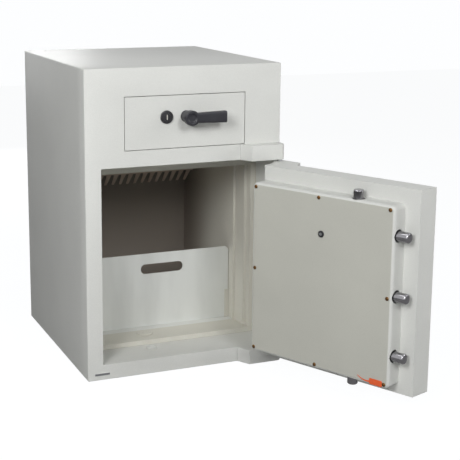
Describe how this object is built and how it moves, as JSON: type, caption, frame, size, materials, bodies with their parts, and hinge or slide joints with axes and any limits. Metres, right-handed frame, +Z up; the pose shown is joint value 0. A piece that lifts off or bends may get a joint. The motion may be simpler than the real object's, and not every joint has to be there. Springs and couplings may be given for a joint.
{
  "type": "drop safe with deposit drawer",
  "caption": "Free-standing deposit safe with a drop drawer above a thick hinged door, shown open on its bolts, chamber, anti-fishing comb and retaining plate.",
  "frame": {"origin": "middle of the base, on the floor", "axes": "+Z up, -Y towards the front with the drawer and the door, +X to the hinge side"},
  "size_m": [0.6667, 1.01, 0.75],
  "materials": {
    "front_paint": "satin",
    "inner_paint": "satin",
    "cover_paint": "satin",
    "bare_steel": "brushed",
    "chrome": "polished",
    "black_handle": "satin",
    "yellow_zinc": "satin",
    "galvanised": "satin",
    "tag_orange": "matte",
    "plate_metal": "satin"
  },
  "bodies": {
    "cabinet": {"front_frame": "front_paint", "cabinet_body": "front_paint", "sill_strike": "front_paint", "door_frame": "inner_paint", "upper_hinge_block": "front_paint", "lower_hinge_block": "front_paint", "upper_hinge_pin": "bare_steel", "lower_hinge_pin": "bare_steel", "drawer_housing": "inner_paint", "runner_left": "bare_steel", "runner_right": "bare_steel", "chute": "inner_paint", "comb": "inner_paint", "plate_guide_left": "inner_paint", "plate_guide_right": "inner_paint", "anchor_plug": "inner_paint", "name_plate": "plate_metal"},
    "door": {"door_slab": "front_paint", "upper_knuckle": "front_paint", "lower_knuckle": "front_paint", "rear_cover": "cover_paint", "cover_screw_1": "yellow_zinc", "cover_screw_2": "yellow_zinc", "cover_screw_3": "yellow_zinc", "cover_screw_4": "yellow_zinc", "cover_screw_5": "yellow_zinc", "cover_screw_6": "yellow_zinc", "cover_screw_7": "yellow_zinc", "cover_screw_8": "yellow_zinc", "spindle_grommet": "black_handle", "door_lock_barrel": "chrome", "door_lock_case": "bare_steel", "side_bolt_guide": "bare_steel", "top_bolt_guide": "bare_steel", "bottom_bolt_guide": "bare_steel", "warning_tag": "tag_orange"},
    "door_handle": {"door_lever": "black_handle", "door_spindle": "bare_steel"},
    "door_key": {"door_key_plug": "chrome"},
    "side_bolts": {"bolt_carriage": "bare_steel", "side_bolt_1": "chrome", "side_bolt_2": "chrome", "side_bolt_3": "chrome"},
    "top_bolt_bar": {"top_link": "bare_steel", "top_bolt": "chrome"},
    "bottom_bolt_bar": {"bottom_link": "bare_steel", "bottom_bolt": "chrome"},
    "drawer": {"drawer_front": "front_paint", "drawer_box": "inner_paint", "rail_left": "bare_steel", "rail_right": "bare_steel", "drawer_lock_barrel": "chrome", "trap_pin": "bare_steel"},
    "drawer_handle": {"drawer_lever": "black_handle", "drawer_spindle": "bare_steel"},
    "drawer_key": {"drawer_key_plug": "chrome"},
    "trap": {"trap_floor": "bare_steel"},
    "plate": {"retaining_plate": "galvanised"}
  },
  "joints": [
    {"name": "door_hinge", "type": "hinge", "parent": "cabinet", "child": "door", "pos_m": [0.241, -0.295, 0.275], "axis": [0, 0, 1], "range_deg": [-115.5, 54]},
    {"name": "door_handle_turn", "type": "hinge", "parent": "door", "child": "door_handle", "pos_m": [0.31508, -0.49676, 0.3835], "axis": [-0.9026, -0.4305, 0], "range_deg": [-90, 0]},
    {"name": "door_key_turn", "type": "hinge", "parent": "door", "child": "door_key", "pos_m": [0.33617, -0.54099, 0.3835], "axis": [-0.9026, -0.4305, 0], "range_deg": [0, 90]},
    {"name": "side_bolts_throw", "type": "slide", "parent": "door", "child": "side_bolts", "axis": [0.4305, -0.9026, 0], "range_m": [0, 0.025]},
    {"name": "top_bolt_throw", "type": "slide", "parent": "door", "child": "top_bolt_bar", "axis": [0, 0, 1], "range_m": [0, 0.025]},
    {"name": "bottom_bolt_throw", "type": "slide", "parent": "door", "child": "bottom_bolt_bar", "axis": [0, 0, -1], "range_m": [0, 0.025]},
    {"name": "drawer_slide", "type": "slide", "parent": "cabinet", "child": "drawer", "axis": [0, -1, 0], "range_m": [0, 0.2]},
    {"name": "drawer_handle_turn", "type": "hinge", "parent": "drawer", "child": "drawer_handle", "pos_m": [0.001, -0.275, 0.631], "axis": [0, 1, 0], "range_deg": [-90, 0]},
    {"name": "drawer_key_turn", "type": "hinge", "parent": "drawer", "child": "drawer_key", "pos_m": [-0.048, -0.275, 0.631], "axis": [0, 1, 0], "range_deg": [0, 90]},
    {"name": "trap_drop", "type": "hinge", "parent": "drawer", "child": "trap", "pos_m": [0, -0.105, 0.563], "axis": [1, 0, 0], "range_deg": [-30, 0], "stiffness_Nm_per_rad": 2, "springref_deg": 34.38},
    {"name": "plate_lift", "type": "slide", "parent": "cabinet", "child": "plate", "axis": [0, 0, 1], "range_m": [0, 0.08]}
  ],
  "couplings": [
    {"joint": "door_handle_turn", "follows": "side_bolts_throw", "rad_per_m": -62.832},
    {"joint": "top_bolt_throw", "follows": "side_bolts_throw", "ratio": 1},
    {"joint": "bottom_bolt_throw", "follows": "side_bolts_throw", "ratio": 1}
  ]
}
